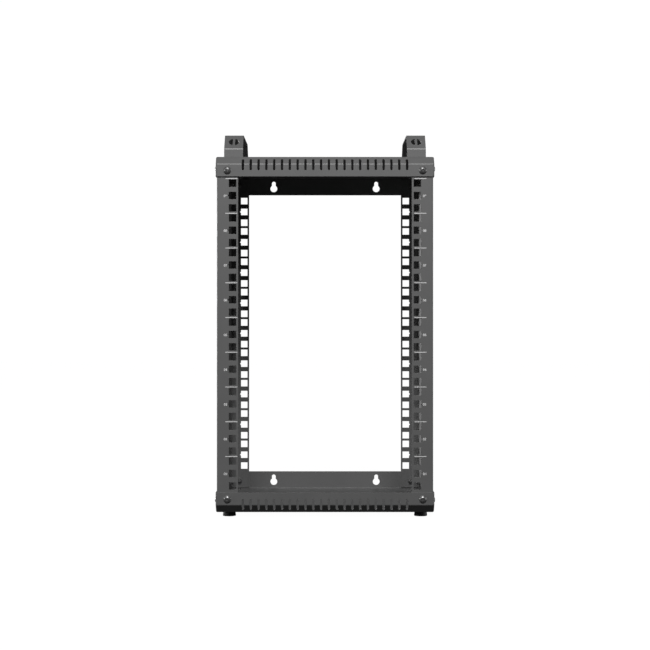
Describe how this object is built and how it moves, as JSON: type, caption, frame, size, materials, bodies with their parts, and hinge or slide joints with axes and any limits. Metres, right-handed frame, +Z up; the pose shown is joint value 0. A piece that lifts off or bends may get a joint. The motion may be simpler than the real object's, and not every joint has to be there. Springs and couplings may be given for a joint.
{
  "type": "open-frame rack",
  "caption": "Open-frame equipment rack with square-hole posts between folded, vented trays, with carrying handles, keyholes for a wall and rubber feet.",
  "frame": {"origin": "centre of the footprint, on the surface that the feet stand on", "axes": "+X to the right as seen from the front, the front faces -Y, +Z up along the posts"},
  "size_m": [0.2866, 0.3066, 0.5008],
  "materials": {
    "frame_paint": "satin charcoal-grey powder coat with white unit marks on the posts",
    "black_screws": "black zinc, slightly glossy",
    "zinc_nuts": "bright zinc",
    "foot_rubber": "matt black moulded rubber"
  },
  "bodies": {
    "root": {"top_tray": "frame_paint", "bottom_tray": "frame_paint", "front_left_post": "frame_paint", "front_right_post": "frame_paint", "rear_left_post": "frame_paint", "rear_right_post": "frame_paint", "left_handle": "frame_paint", "right_handle": "frame_paint", "left_handle_bolts": "black_screws", "right_handle_bolts": "black_screws", "left_handle_nuts": "zinc_nuts", "right_handle_nuts": "zinc_nuts", "front_left_foot": "foot_rubber", "front_right_foot": "foot_rubber", "rear_left_foot": "foot_rubber", "rear_right_foot": "foot_rubber", "front_foot_screws": "zinc_nuts", "rear_foot_screws": "zinc_nuts", "bottom_front_screws": "black_screws", "bottom_rear_screws": "black_screws", "bottom_left_screws": "black_screws", "bottom_right_screws": "black_screws", "top_front_screws": "black_screws", "top_rear_screws": "black_screws", "top_left_screws": "black_screws", "top_right_screws": "black_screws"}
  },
  "joints": []
}
